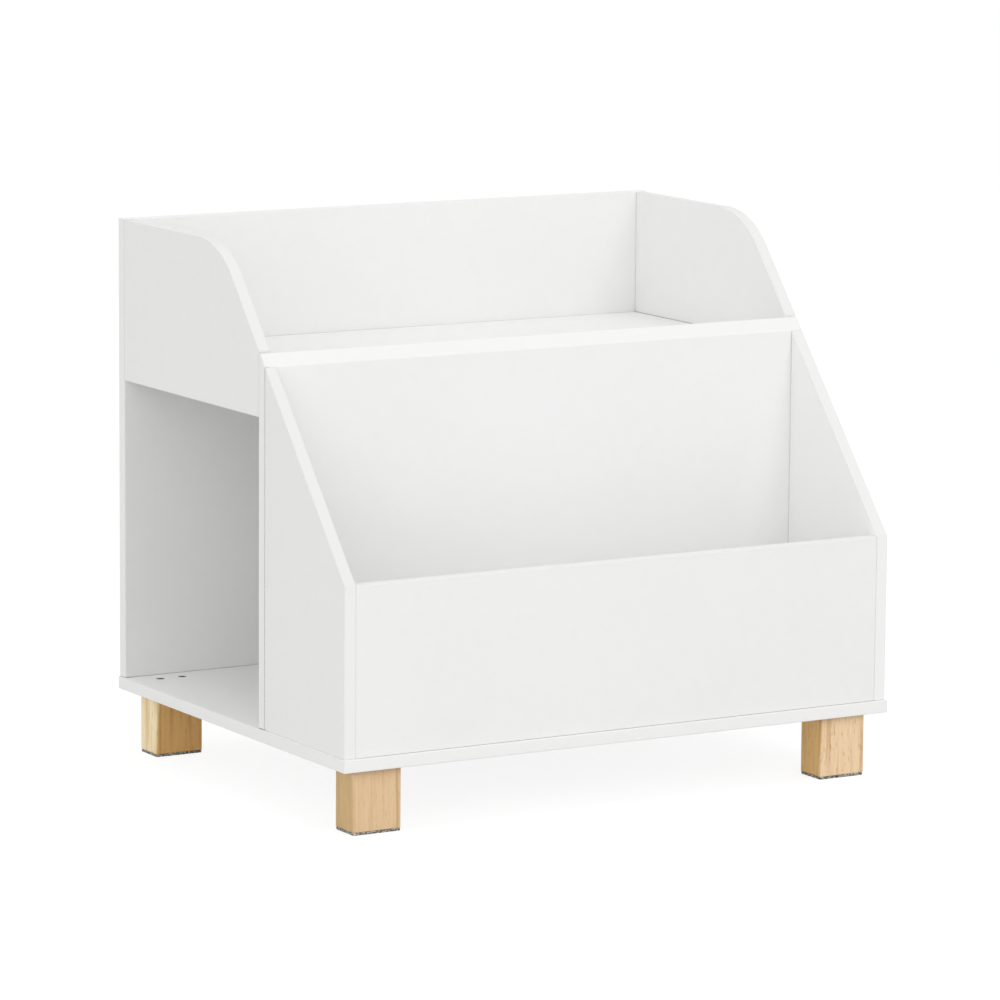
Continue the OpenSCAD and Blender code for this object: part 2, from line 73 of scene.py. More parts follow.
# Boards with the direction of their thickness, the paleness of their faces at the bottom
# and at the top, the paleness of their upright and of their raised edges, and how dark
# their joints are: an axis, two places along it and the share at each. These palenesses
# are painted light: each board's white is made paler or darker, from bottom to top and by
# whether an edge faces up, to cancel the shade and light that fall on it. The dark joints
# are a dark joint line together with painted shade in the joints and inner corners
BOARDS = (
    ("base_board", "z", (1.11, 1.11), (1.022, 0.985), ("x", -0.296, -0.28, 0.0, 0.15)),
    ("back_panel", "y", (0.935, 1.0), (0.995, 1.03), ("x", -0.296, -0.28, 0.5, 0.15)),
    ("divider_panel", "y", (1.11, 1.01), (0.985, 0.945), ("x", -0.2975, -0.2925, 2.1, 0.15)),
    ("front_panel", "y", (0.968, 0.968), (0.995, 0.995), ("x", -0.286, -0.27, 0.0, 0.25)),
    ("left_front_side", "x", (0.941, 0.931), (1.005, 0.93), ("y", -0.08, -0.073, 0.0, 0.5)),
    ("right_front_side", "x", (1.11, 1.025), (1.035, 0.96), ("y", -0.2, -0.08, 0.1, 0.15)),
    ("left_tray_side", "x", (0.941, 0.941), (0.935, 0.935), ("z", 0.40, 0.41, 0.0, 0.05)),
    ("right_tray_side", "x", (0.98, 0.98), (1.0, 0.95), ("z", 0.4035, 0.409, 0.9, 0.05)),
    ("tray_floor", "z", (0.985, 0.985), (1.0, 1.0), ("x", -0.28, 0.28, 0.35, 0.0)),
    ("centre_partition", "x", (1.09, 1.09), (1.0, 1.0), ("z", 0.07, 0.4, 0.4, 0.4)),
)
# Legs with the place of the pith beside each one, the radius of the heartwood round it,
# the tints of sapwood and heartwood, and how strong the rings and the pores are. The tints,
# and where the heartwood lies, are partly painted light: faces that lie in shade under the
# base board are made darker and lit faces paler
LEGS = (
    ("front_left_leg", (-0.060, 0.004), 0.0405, (0.98, 0.96, 0.95), (0.84, 0.89, 0.95), (0.4, 0.3)),
    ("front_right_leg", (-0.052, 0.012), 0.0395, (1.13, 1.16, 1.23), (1.01, 1.0, 0.85), (0.25, 0.8)),
    ("rear_left_leg", (0.014, -0.046), 0.048, (1.26, 1.43, 1.5), (0.94, 0.88, 0.72), (0.17, 0.5)),
    ("rear_right_leg", (-0.050, -0.060), 0.050, (1.05, 1.05, 1.05), (0.95, 0.95, 0.95), (0.6, 0.5)),
)
# Pads with how far their mix of fibres is moved towards the pale ones; the darker mixes, darkest on
# the rear left pad, are painted shade of pads standing under the bookcase
PADS = (
    ("front_left_felt_pad", -0.002),
    ("front_right_felt_pad", -0.004),
    ("rear_left_felt_pad", -0.012),
    ("rear_right_felt_pad", -0.006),
)
LEG_SCREWS = ("leg_screws",)
PANEL_SCREWS = ("base_screws", "back_screws")
CAM_LOCKS = (
    "front_panel_cam_locks",
    "front_side_cam_locks",
    "tray_floor_cam_locks",
    "tray_side_cam_locks",
    "partition_cam_locks",
)
CAM_BOLTS = (
    "front_panel_cam_bolts",
    "front_side_cam_bolts",
    "tray_floor_cam_bolts",
    "tray_side_cam_bolts",
    "partition_cam_bolts",
)
# Dowels by the direction they run in
DOWELS = {
    "x": ("front_panel_dowels", "tray_end_dowels"),
    "y": ("back_dowels", "divider_dowels"),
    "z": ("base_dowels", "partition_top_dowels"),
}
AXES = {"x": (1, 0, 0), "y": (0, 1, 0), "z": (0, 0, 1)}
# Lamps with their places, their widths and heights in metres and the tints of their light
LAMPS = (
    ("front_lamp", (1.8, -6.0, 4.34), (2.0, 2.0), (1.0, 1.0, 1.0)),
    ("top_lamp", (0.2, -1.0, 6.14), (4.4, 4.4), (1.0, 1.0, 1.0)),
    ("left_lamp", (-4.5, -4.5, 2.45), (6.0, 4.8), (0.995, 1.0, 0.965)),
)

# Samples of the nodes that look around a point
NEAR_SAMPLES = 6
# How far the normal turns at an eased edge, from unworn to fully worn
WORN_TURN = (0.01, 0.12)
# Share of open sky above a point, from outside a joint to down in it, for the painted shade in
# joints and inner corners
JOINT_SHADE_OPENING = (0.9, 0.5)
# Part of the normal along the thickness, from an edge to a face of a board
FACE_TURN = (0.6, 0.9)
# Part of the normal that points up, from an upright edge to a raised one, where the painted light on
# the edges changes its tone
PAINTED_LIGHT_UP_TURN = (0.1, 0.4)

# Patterns of the lacquer, in waves per metre
BOARD_WEAR_SCALE = 55.0
CLOUD_SCALE = 4.0
MOTTLE_SCALE = 90.0
GLOSS_SCALE = 22.0
DUST_SCALE = 160.0
# The same for the layers that show in an edge, along them and across them
LAYER_SCALES = (45.0, 700.0)
# Share of the mottle in the tone of the lacquer; the clouds have the rest
MOTTLE_SHARE = 0.35

# Patterns of the pine, in waves per metre across the trunk and along it
WANDER_SCALES = (34, 34, 8)
RING_SCALES = (26, 26, 4)
FIBRE_SCALES = (1500, 1500, 45)
THREAD_SCALES = (420, 420, 14)
STREAK_SCALES = (120, 120, 7)
PORE_SCALES = (900, 900, 110)
LEG_WEAR_SCALE = 70.0
# How far the pith wanders across the trunk, and the half width of the heartwood's border
WANDER = (0.011, 0.011, 0.0)
HEART_BORDER = 0.0012
# Darkness along one ring
RING_STOPS = ((0.0, (0, 0, 0)), (0.4, (0.08, 0.08, 0.08)), (0.84, (1, 1, 1)), (1.0, (0, 0, 0)))
# Band of painted shadow under the base board, as depths below the top of a leg
SHADOW_BAND_DEPTHS = (0.012, 0.006)

# Patterns of the felt, in waves per metre
CLUMP_SCALES = (500, 500, 760)
LYING_SCALES = (900, 900, 3200)
CROSSING_SCALES = (3600, 3100, 1100)
CLUMP_SHARE = 0.7
FELT_DEPTH = 0.0001
# How far the loose fibres are moved towards the pale ones
LOOSE_SHIFT = 0.05

# Outline of a pad: distance between its points, and the unevenness of its cut edge in
# waves per metre, coarse and fine
OUTLINE_GAP = 0.0006
COARSE_SCALE = 1100
FINE_SCALE = 3000
# Height of each ring as a share of the pad's, and how far it stands in
PAD_ROWS = (
    (0.0, 0.00022),
    (0.04, 0.0001),
    (0.16, 0.00003),
    (0.34, 0.0),
    (0.5, 0.0),
    (0.66, 0.0),
    (0.84, 0.00003),
    (0.96, 0.0001),
    (1.0, 0.00022),
)
# Flat faces of a pad: sizes of the rings in them against the edge, and how deep they lie
FACE_RINGS = (0.94, 0.8, 0.5)
FACE_DEPTH = 0.00003
# Loose fibres: places along one, how deep its root is, how far it stands out, its slope
# and how many sides it has
FIBRE_STEPS = (0.0, 0.3, 0.65, 1.0)
FIBRE_ROOT = 0.00004
FIBRE_STAND = (0.00004, 0.00022)
FIBRE_SLOPE = 0.45
FIBRE_SIDES = 3
# Direction that no fibre runs along
ASIDE = (0.31, 0.47, 0.83)
# Seed of the first pad; the legs have the ones below it
FIRST_PAD_SEED = 5

# White of the floor with all its light, and the paleness of its clouds
FLOOR_WHITE = 1.01
FLOOR_CLOUD = 0.97
FLOOR_SEGMENTS = 96
# Width of the camera's sensor in millimetres, and how far it sees in metres
SENSOR_WIDTH = 36
CAMERA_REACH = 100


def colour_prop(name, description, default):
    """Property for a colour."""
    return FloatVectorProperty(
        name=name, description=description, default=default, subtype="COLOR", min=0, max=1
    )


def length_prop(name, description, default):
    """Property for a length in metres."""
    return FloatProperty(
        name=name, description=description, default=default, min=0, unit="LENGTH", precision=5
    )


def share_prop(name, description, default):
    """Property for a share from 0 to 1."""
    return FloatProperty(
        name=name, description=description, default=default, min=0, max=1, subtype="FACTOR"
    )


def power_prop(name, description, default):
    """Property for the power of a lamp."""
    return FloatProperty(name=name, description=description, default=default, unit="POWER")


class BookcaseBoardProps(bpy.types.PropertyGroup):
    """White satin lacquer of the boards."""

    lacquer: colour_prop("Lacquer", "Colour of the lacquer", (0.9, 0.9, 0.899))
    shade: colour_prop("Thin Lacquer", "Colour where the lacquer is thinner", (0.88, 0.878, 0.873))
    edge: colour_prop("Edge Lacquer", "Colour of the lacquer on the edges", (0.86, 0.858, 0.85))
    bare_edge: colour_prop("Bare Edge", "Colour that shows at a worn edge", (0.66, 0.62, 0.55))
    # Painted shade: this dark colour goes into the joints and inner corners, partly as a dark joint
    # line
    joint_shade: colour_prop("Joint", "Colour down in the joints between boards", (0.18, 0.17, 0.16))
    joint_shade_width: length_prop("Joint Width", "How far out of a joint it is darker", 0.0013)
    roughness: share_prop("Roughness", "Roughness of the lacquer", 0.46)
    wear: share_prop("Edge Wear", "How much the bare edge shows", 0.16)
    edge_radius: length_prop("Edge Radius", "Softness of the eased edges", 0.0009)
    peel_size: length_prop("Peel Size", "Size of the lacquer's orange peel", 0.0016)
    peel_depth: length_prop("Peel Depth", "Depth of the lacquer's orange peel", 0.000012)


class BookcaseLegProps(bpy.types.PropertyGroup):
    """Clear lacquered pine of the legs."""

    sapwood: colour_prop("Sapwood", "Colour of the pale outer wood", (0.79, 0.575, 0.345))
    heartwood: colour_prop("Heartwood", "Colour of the darker inner wood", (0.76, 0.47, 0.19))
    latewood: colour_prop("Latewood", "Tint of the dark part of a ring", (0.80, 0.70, 0.58))
    streak: colour_prop("Streak", "Tint of the darker streaks", (0.70, 0.56, 0.40))
    # Painted shadow: the top of each leg, under the base board, is darkened with this colour
    joint_shade: colour_prop("Joint", "Tint of the wood close under the base board", (0.35, 0.27, 0.18))
    joint_shade_width: length_prop("Joint Width", "How far below the base board it is darker", 0.01)
    roughness: share_prop("Roughness", "Roughness of the wood under its lacquer", 0.48)
    ring_gap: length_prop("Ring Gap", "Distance between two growth rings", 0.0042)
    grain_depth: length_prop("Grain Depth", "Depth of the grain", 0.00004)
    edge_radius: length_prop("Edge Radius", "Softness of the upright edges", 0.0004)


class BookcasePadProps(bpy.types.PropertyGroup):
    """Needled felt pads under the legs."""

    dark: colour_prop("Dark Fibres", "Colour of the dark fibres", (0.03, 0.028, 0.026))
    middle: colour_prop("Middle Fibres", "Colour of most fibres", (0.17, 0.165, 0.16))
    pale: colour_prop("Pale Fibres", "Colour of the pale fibres", (0.58, 0.56, 0.53))
    corner: length_prop("Corner Radius", "Radius of the pad's corners", 0.002)
    inset: length_prop("Inset", "How far the felt stays inside its solid", 0.0001)
    bulge: length_prop("Bulge", "How far the side stands out under the load", 0.00016)
    unevenness: length_prop("Unevenness", "Height of the cut edge's unevenness", 0.00022)
    fibre_count: IntProperty(
        name="Fibres", description="Loose fibres around each pad", default=460, min=0, max=3000
    )
    fibre_length: length_prop("Fibre Length", "Length of a loose fibre", 0.0011)
    fibre_radius: length_prop("Fibre Radius", "Radius of a loose fibre", 0.00003)


class BookcaseFixingProps(bpy.types.PropertyGroup):
    """Screws, cam fittings and dowels."""

    black_steel: colour_prop("Black Steel", "Colour of the leg screws", (0.022, 0.021, 0.022))
    worn_steel: colour_prop("Worn Steel", "Colour of their worn edges", (0.24, 0.235, 0.23))
    zinc_plate: colour_prop("Zinc Plate", "Colour of the plated steel", (0.62, 0.63, 0.645))
    zinc_tint: colour_prop("Zinc Tint", "Second colour of the plating", (0.60, 0.585, 0.52))
    cast_zinc: colour_prop("Cast Zinc", "Colour of the cam locks", (0.5, 0.5, 0.51))
    beech: colour_prop("Beech", "Colour of the dowels", (0.62, 0.43, 0.25))
    beech_fleck: colour_prop("Beech Fleck", "Colour of the flecks in it", (0.36, 0.2, 0.09))


class BookcaseStageProps(bpy.types.PropertyGroup):
    """Floor, lamps and camera."""

    floor: colour_prop("Floor", "Colour of the floor", (0.82, 0.82, 0.82))
    floor_radius: length_prop("Floor Radius", "Radius of the round floor", 30)
    shadow: share_prop("Shadow", "How strongly the shadow shows on the floor", 0.2)
    sky: share_prop("Ambient Light", "Strength of the even light from all sides", 0.77)
    front_lamp: power_prop("Front Lamp", "Power of the soft lamp in front", 48)
    top_lamp: power_prop("Top Lamp", "Power of the soft lamp overhead", 53)
    left_lamp: power_prop("Left Lamp", "Power of the soft lamp on the left", 82)
    camera_place: FloatVectorProperty(
        name="Camera Place",
        description="Where the camera stands",
        default=(-2.65034, -4.48687, 1.10532),
        subtype="TRANSLATION",
        unit="LENGTH",
        precision=5,
    )
    camera_aim: FloatVectorProperty(
        name="Camera Aim",
        description="Turn to the right, tilt down and roll of the camera",
        default=(math.radians(30.557), math.radians(9.2096), math.radians(0.4486)),
        subtype="EULER",
        unit="ROTATION",
        precision=4,
    )
    lens: FloatProperty(
        name="Lens",
        description="Focal length on a sensor 36 mm wide",
        default=195.81,
        min=1,
        unit="CAMERA",
    )


class Graph:
    """Node tree of one material or world, with short calls for its usual nodes."""

    def __init__(self, owner):
        owner.use_nodes = True
        self.tree = owner.node_tree
        self.tree.nodes.clear()
        self.place = None
        if isinstance(owner, bpy.types.Material):
            self.place = self.add("TexCoord").outputs["Object"]

    def add(self, kind, inputs=None, **settings):
        node = self.tree.nodes.new("ShaderNode" + kind)
        node.location = (len(self.tree.nodes) * 190, -(len(self.tree.nodes) % 3) * 170)
        for key, value in settings.items():
            setattr(node, key, value)
        for key, value in (inputs or {}).items():
            if isinstance(value, bpy.types.NodeSocket):
                self.tree.links.new(value, node.inputs[key])
            else:
                node.inputs[key].default_value = value
        return node

    def math(self, operation, first, second=0.5, clamp=False):
        inputs = {0: first, 1: second}
        return self.add("Math", inputs, operation=operation, use_clamp=clamp).outputs[0]

    def vector(self, operation, first, second):
        return self.add("VectorMath", {0: first, 1: second}, operation=operation)

    def stretched(self, scale):
        """Place in the object, stretched by one over the scale along each axis."""
        return self.vector("MULTIPLY", self.place, scale).outputs[0]

    def noise(self, place, scale, detail=2.0, roughness=0.5, distortion=0.0):
        inputs = {
            "Vector": place,
            "Scale": scale,
            "Detail": detail,
            "Roughness": roughness,
            "Distortion": distortion,
        }
        return self.add("TexNoise", inputs).outputs[0]

    def spread(self, value, low, high, to_low=0.0, to_high=1.0):
        """Value between low and high, spread over another range and kept in it."""
        inputs = {0: value, 1: low, 2: high, 3: to_low, 4: to_high}
        return self.add("MapRange", inputs).outputs[0]

    def ramp(self, value, stops):
        """Colours along 0 to 1, from pairs of a place and a colour."""
        node = self.add("ValToRGB", {0: value})
        elements = node.color_ramp.elements
        elements[0].position, elements[1].position = stops[0][0], stops[-1][0]
        elements[0].color, elements[1].color = (*stops[0][1], 1), (*stops[-1][1], 1)
        for place, colour in stops[1:-1]:
            elements.new(place).color = (*colour, 1)
        return node.outputs[0]

    def mix(self, share, first, second, blend="MIX"):
        inputs = {0: share}
        for key, colour in ((6, first), (7, second)):
            linked = isinstance(colour, bpy.types.NodeSocket)
            inputs[key] = colour if linked else (*colour, 1)
        return self.add("Mix", inputs, data_type="RGBA", blend_type=blend).outputs[2]

    def bump(self, height, distance, normal=None):
        inputs = {"Height": height, "Distance": distance, "Strength": 1.0}
        if normal is not None:
            inputs["Normal"] = normal
        return self.add("Bump", inputs).outputs[0]

    def worn_edges(self, radius, patch_scale):
        """(mask of worn edges, normal that rounds them)."""
        soft = self.add("Bevel", {"Radius": radius}, samples=NEAR_SAMPLES).outputs[0]
        flat = self.add("NewGeometry").outputs["True Normal"]
        turned = self.math("SUBTRACT", 1.0, self.vector("DOT_PRODUCT", soft, flat).outputs[1])
        near = self.spread(turned, *WORN_TURN)
        patches = self.spread(self.noise(self.place, patch_scale, 4.0, 0.6), 0.42, 0.66)
        return self.math("MULTIPLY", near, patches), soft

    def joints(self, width, axis, start, end, at_start, at_end):
        """Mask of painted shade down in a joint or inner corner, found by ambient occlusion, its
        share set at two places along an axis.
        """
        around = self.add("AmbientOcclusion", {"Distance": width}, samples=NEAR_SAMPLES)
        along = self.vector("DOT_PRODUCT", self.place, AXES[axis]).outputs[1]
        share = self.spread(along, start, end, at_start, at_end)
        inside = self.spread(around.outputs["AO"], *JOINT_SHADE_OPENING)
        return self.math("MULTIPLY", inside, share, clamp=True)

    def surface(self, **inputs):
        """Closes the graph with its shader; the names are those of the shader's sockets."""
        named = {key.replace("_", " ").title(): value for key, value in inputs.items()}
        if "Ior" in named:
            named["IOR"] = named.pop("Ior")
        shader = self.add("BsdfPrincipled", named)
        self.add("OutputMaterial", {"Surface": shader.outputs[0]})


def new_graph(name):
    """(material, its empty graph)."""
    material = bpy.data.materials.new(name)
    return material, Graph(material)


def node_object(name):
    """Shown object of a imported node."""
    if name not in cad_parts:
        raise RuntimeError(f"the packed model has no node {name}")
    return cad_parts[name]


def finish_node(name, material):
    """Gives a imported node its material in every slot."""
    mesh = node_object(name).data
    mesh.materials.clear()
    mesh.materials.append(material)


def tinted(colour, tint):
    """Colour with each part made paler or darker by its own share."""
    return [min(1.0, part * share) for part, share in zip(colour, tint)]


def toned(colour, paleness):
    """Colour made paler or darker by the same share in each part."""
    return tinted(colour, [paleness] * 3)


def in_tones(colour, tones):
    """The colour in each tone."""
    return [toned(colour, paleness) for paleness in tones]


def lacquer_material(look, name, axis, painted_light_face_tones, painted_light_edge_tones, joint_shade):
    """White lacquer on a board whose thickness runs along the axis."""
    material, graph = new_graph(f"white_lacquer_{name}")
    worn, soft = graph.worn_edges(look.edge_radius, BOARD_WEAR_SCALE)
    cloud = graph.noise(graph.place, CLOUD_SCALE, 3.0, 0.55)
    mottle = graph.noise(graph.place, MOTTLE_SCALE, 3.0, 0.6)
    mottle = graph.math("MULTIPLY", mottle, MOTTLE_SHARE)
    tone = graph.math("ADD", mottle, graph.math("MULTIPLY", cloud, 1 - MOTTLE_SHARE))
    flat = graph.add("NewGeometry").outputs["True Normal"]
    along = graph.vector("DOT_PRODUCT", flat, AXES[axis]).outputs[1]
    side = graph.spread(graph.math("ABSOLUTE", along), *FACE_TURN, 1.0, 0.0)
    low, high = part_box(name)
    # Painted light: each board's faces are made paler or darker from bottom to top, in its own
    # tones, to cancel the shade and light that fall on them
    painted_light_rise = graph.vector("DOT_PRODUCT", graph.place, AXES["z"]).outputs[1]
    painted_light_rise = graph.spread(painted_light_rise, low.z, high.z)
    pale = graph.mix(painted_light_rise, *in_tones(look.lacquer, painted_light_face_tones))
    thin = graph.mix(painted_light_rise, *in_tones(look.shade, painted_light_face_tones))
    colour = graph.mix(graph.spread(tone, 0.36, 0.64), pale, thin)
    # Painted light: edges that face up get another white than upright edges
    raised = graph.vector("DOT_PRODUCT", flat, AXES["z"]).outputs[1]
    edge = graph.mix(graph.spread(raised, *PAINTED_LIGHT_UP_TURN), *in_tones(look.edge, painted_light_edge_tones))
    colour = graph.mix(side, colour, edge)
    colour = graph.mix(graph.math("MULTIPLY", worn, look.wear), colour, look.bare_edge)
    # Painted shade in the joints and inner corners, together with the dark joint line
    colour = graph.mix(graph.joints(look.joint_shade_width, *joint_shade), colour, look.joint_shade)

    # Layers of the board under the lacquer of its edges, orange peel, and settled dust
    layers = graph.stretched([LAYER_SCALES[on] for on in AXES[axis]])
    layers = graph.math("MULTIPLY", graph.noise(layers, 1.0, 3.0, 0.6), side)
    peel = graph.noise(graph.place, 1 / look.peel_size, 1.0, 0.4)
    dust = graph.add("TexVoronoi", {"Vector": graph.place, "Scale": DUST_SCALE})
    dust = graph.spread(dust.outputs["Distance"], 0.05, 0.0)
    height = graph.math("ADD", peel, graph.math("MULTIPLY", layers, 1.6))
    height = graph.math("ADD", height, dust)
    gloss = graph.noise(graph.place, GLOSS_SCALE, 4.0, 0.65)
    rough = graph.spread(gloss, 0.3, 0.7, look.roughness - 0.05, look.roughness + 0.05)
    rough = graph.math("ADD", rough, graph.math("MULTIPLY", side, 0.06))
    rough = graph.math("ADD", rough, graph.math("MULTIPLY", worn, 0.15))
    graph.surface(
        base_color=colour,
        roughness=rough,
        normal=graph.bump(height, look.peel_depth, soft),
        ior=1.47,
    )
    return material


def pine_material(look, name, pith_offset, heart_radius, wood_and_shade_tints, marks, seed):
    """Pine with upright grain, cut from its own place in the trunk."""
    rng = random.Random(seed)
    ring_strength, pore_strength = marks
    material, graph = new_graph(f"pine_{name}")
    low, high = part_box(name)
    pith = (low + high) / 2 + Vector((*pith_offset, 0))

    wander = {"Vector": graph.stretched(WANDER_SCALES), "Scale": 1.0, "Detail": 4.0}
    wander = graph.add("TexNoise", wander).outputs["Color"]
    wander = graph.vector("SUBTRACT", wander, (0.5, 0.5, 0.5)).outputs[0]
    wander = graph.vector("MULTIPLY", wander, WANDER).outputs[0]
    place = graph.vector("SUBTRACT", graph.place, pith).outputs[0]
    place = graph.vector("ADD", place, wander).outputs[0]
    across = graph.vector("MULTIPLY", place, (1, 1, 0)).outputs[0]
    radius = graph.vector("LENGTH", across, (0, 0, 0)).outputs[1]
    lean = graph.vector("DOT_PRODUCT", place, (0, 0, rng.uniform(-0.05, 0.05))).outputs[1]
    radius = graph.math("ADD", radius, lean)

    # Rings of uneven width, each one darkening slowly and ending sharply
    uneven = graph.noise(graph.vector("MULTIPLY", across, (90, 90, 0)).outputs[0], 1.0, 2.0)
    count = graph.math("DIVIDE", radius, look.ring_gap)
    count = graph.math("ADD", count, graph.math("MULTIPLY", uneven, 1.6))
    rings = graph.ramp(graph.math("FRACT", count), RING_STOPS)
    strong = graph.noise(graph.stretched(RING_SCALES), 1.0)
    strong = graph.spread(strong, 0.35, 0.65, 0.15, 0.8)
    rings = graph.math("MULTIPLY", rings, graph.math("MULTIPLY", strong, ring_strength * 2))

    fibre = graph.noise(graph.stretched(FIBRE_SCALES), 1.0, 3.0, 0.65)
    thread = graph.noise(graph.stretched(THREAD_SCALES), 1.0, 2.0, 0.6)
    broad = graph.noise(graph.stretched(STREAK_SCALES), 1.0, 2.0, 0.5)
    pores = graph.spread(graph.noise(graph.stretched(PORE_SCALES), 1.0, 1.0), 0.62, 0.72)
    grain = graph.math("MULTIPLY", fibre, 0.4)
    grain = graph.math("ADD", grain, graph.math("MULTIPLY", thread, 0.6))

    heart = graph.math("SUBTRACT", heart_radius, radius)
    heart = graph.spread(heart, -HEART_BORDER, HEART_BORDER)
    # Partly painted light: each leg's tints make its shaded faces darker and its lit faces paler
    sapwood, heartwood = tinted(look.sapwood, wood_and_shade_tints[0]), tinted(look.heartwood, wood_and_shade_tints[1])
    colour = graph.mix(heart, sapwood, heartwood)
    tone = graph.math("ADD", rings, graph.spread(grain, 0.3, 0.7, -0.3, 0.4), clamp=True)
    colour = graph.mix(tone, colour, look.latewood, "MULTIPLY")
    streaks = graph.spread(broad, 0.54, 0.7, 0.0, 0.7)
    colour = graph.mix(streaks, colour, look.streak, "MULTIPLY")
    shown_pores = graph.math("MULTIPLY", pores, pore_strength)
    colour = graph.mix(shown_pores, colour, look.streak, "MULTIPLY")
    worn, soft = graph.worn_edges(look.edge_radius, LEG_WEAR_SCALE)
    colour = graph.mix(graph.math("MULTIPLY", worn, 0.3), colour, sapwood)
    # Painted shadow of the base board on the top of the leg
    shadow_band = [high.z - depth for depth in SHADOW_BAND_DEPTHS]
    painted_shadow_under_board = graph.joints(look.joint_shade_width, "z", *shadow_band, 0.0, 1.0)
    colour = graph.mix(painted_shadow_under_board, colour, look.joint_shade, "MULTIPLY")

    height = graph.math("ADD", grain, graph.math("MULTIPLY", rings, 0.6))
    height = graph.math("SUBTRACT", height, pores)
    rough = graph.spread(grain, 0.3, 0.7, look.roughness - 0.07, look.roughness + 0.09)
    graph.surface(
        base_color=colour,
        roughness=rough,
        normal=graph.bump(height, look.grain_depth, soft),
        coat_weight=0.12,
        coat_roughness=0.3,
    )
    return material


def felt_material(look, name, tone_and_shade_shift):
    """Salt and pepper felt; the shift moves the mix towards the pale fibres, and its darker values
    on the pads are painted shade.
    """
    material, graph = new_graph(name)
    clumps = graph.noise(graph.stretched(CLUMP_SCALES), 1.0, 2.0, 0.6, 0.8)
    lying = graph.noise(graph.stretched(LYING_SCALES), 1.0, 2.0, 0.7, 1.2)
    crossing = graph.noise(graph.stretched(CROSSING_SCALES), 1.0, 2.0, 0.7, 1.2)
    halves = [graph.math("MULTIPLY", fibres, 0.5) for fibres in (lying, crossing)]
    mixed = graph.math("MULTIPLY", graph.math("ADD", *halves), 1 - CLUMP_SHARE)
    mixed = graph.math("ADD", mixed, graph.math("MULTIPLY", clumps, CLUMP_SHARE))
    mixed = graph.math("ADD", mixed, tone_and_shade_shift)
    stops = ((0.47, look.dark), (0.495, look.middle), (0.515, look.middle), (0.54, look.pale))
    colour = graph.ramp(mixed, stops)
    height = graph.math("ADD", lying, crossing)
    graph.surface(
        base_color=colour,
        roughness=graph.spread(mixed, 0.3, 0.7, 0.85, 1.0),
        normal=graph.bump(height, FELT_DEPTH),
        sheen_weight=0.35,
        sheen_roughness=0.5,
    )
    return material


def black_steel_material(look):
    """Black oxide with bright worn edges."""
    material, graph = new_graph("black_steel")
    worn, soft = graph.worn_edges(0.0003, 900.0)
    cast = graph.noise(graph.place, 700.0, 3.0, 0.6)
    colour = graph.mix(graph.spread(cast, 0.35, 0.7, 0.0, 0.12), look.black_steel, look.worn_steel)
    colour = graph.mix(graph.math("MULTIPLY", worn, 0.5), colour, look.worn_steel)
    graph.surface(
        base_color=colour,
        metallic=0.75,
        roughness=graph.spread(cast, 0.3, 0.7, 0.34, 0.52),
        normal=graph.bump(cast, 0.00001, soft),
    )
    return material


def zinc_plate_material(look):
    """Bright zinc plate with a faint second tint and drawn lines."""
    material, graph = new_graph("zinc_plate")
    worn, soft = graph.worn_edges(0.0003, 800.0)
    tint = graph.noise(graph.place, 160.0, 2.0, 0.6)
    drawn = graph.noise(graph.stretched((5200, 5200, 700)), 1.0, 2.0, 0.6)
    colour = graph.mix(graph.spread(tint, 0.35, 0.65), look.zinc_plate, look.zinc_tint)
    colour = graph.mix(graph.math("MULTIPLY", worn, 0.4), colour, (0.7, 0.7, 0.7))
    graph.surface(
        base_color=colour,
        metallic=1.0,
        roughness=graph.spread(drawn, 0.3, 0.7, 0.24, 0.42),
        normal=graph.bump(drawn, 0.000006, soft),
    )
    return material


def cast_zinc_material(look):
    """Tumbled zinc casting, dull with polished edges."""
    material, graph = new_graph("cast_zinc")
    worn, soft = graph.worn_edges(0.0004, 500.0)
    grit = graph.noise(graph.place, 2400.0, 3.0, 0.6)
    stain = graph.noise(graph.place, 230.0, 3.0, 0.6)
    dull = toned(look.cast_zinc, 0.72)
    colour = graph.mix(graph.spread(stain, 0.4, 0.7), look.cast_zinc, dull)
    colour = graph.mix(graph.math("MULTIPLY", worn, 0.6), colour, (0.68, 0.68, 0.69))
    graph.surface(
        base_color=colour,
        metallic=0.95,
        roughness=graph.spread(grit, 0.3, 0.7, 0.42, 0.62),
        normal=graph.bump(grit, 0.00003, soft),
    )
    return material


def beech_material(look, axis):
    """Raw beech with short flecks along the dowel."""
    material, graph = new_graph(f"beech_{axis}")
    fibre = graph.noise(graph.stretched([60.0 if on else 1600.0 for on in AXES[axis]]), 1.0, 3.0)
    fleck = graph.noise(graph.stretched([260.0 if on else 1900.0 for on in AXES[axis]]), 1.0, 1.0)
    fleck = graph.spread(fleck, 0.6, 0.7, 0.0, 0.8)
    pale = toned(look.beech, 1.16)
    colour = graph.mix(graph.spread(fibre, 0.35, 0.65), look.beech, pale)
    colour = graph.mix(fleck, colour, look.beech_fleck)
    graph.surface(
        base_color=colour,
        roughness=graph.spread(fibre, 0.3, 0.7, 0.6, 0.75),
        normal=graph.bump(graph.math("SUBTRACT", fibre, fleck), 0.00004),
    )
    return material


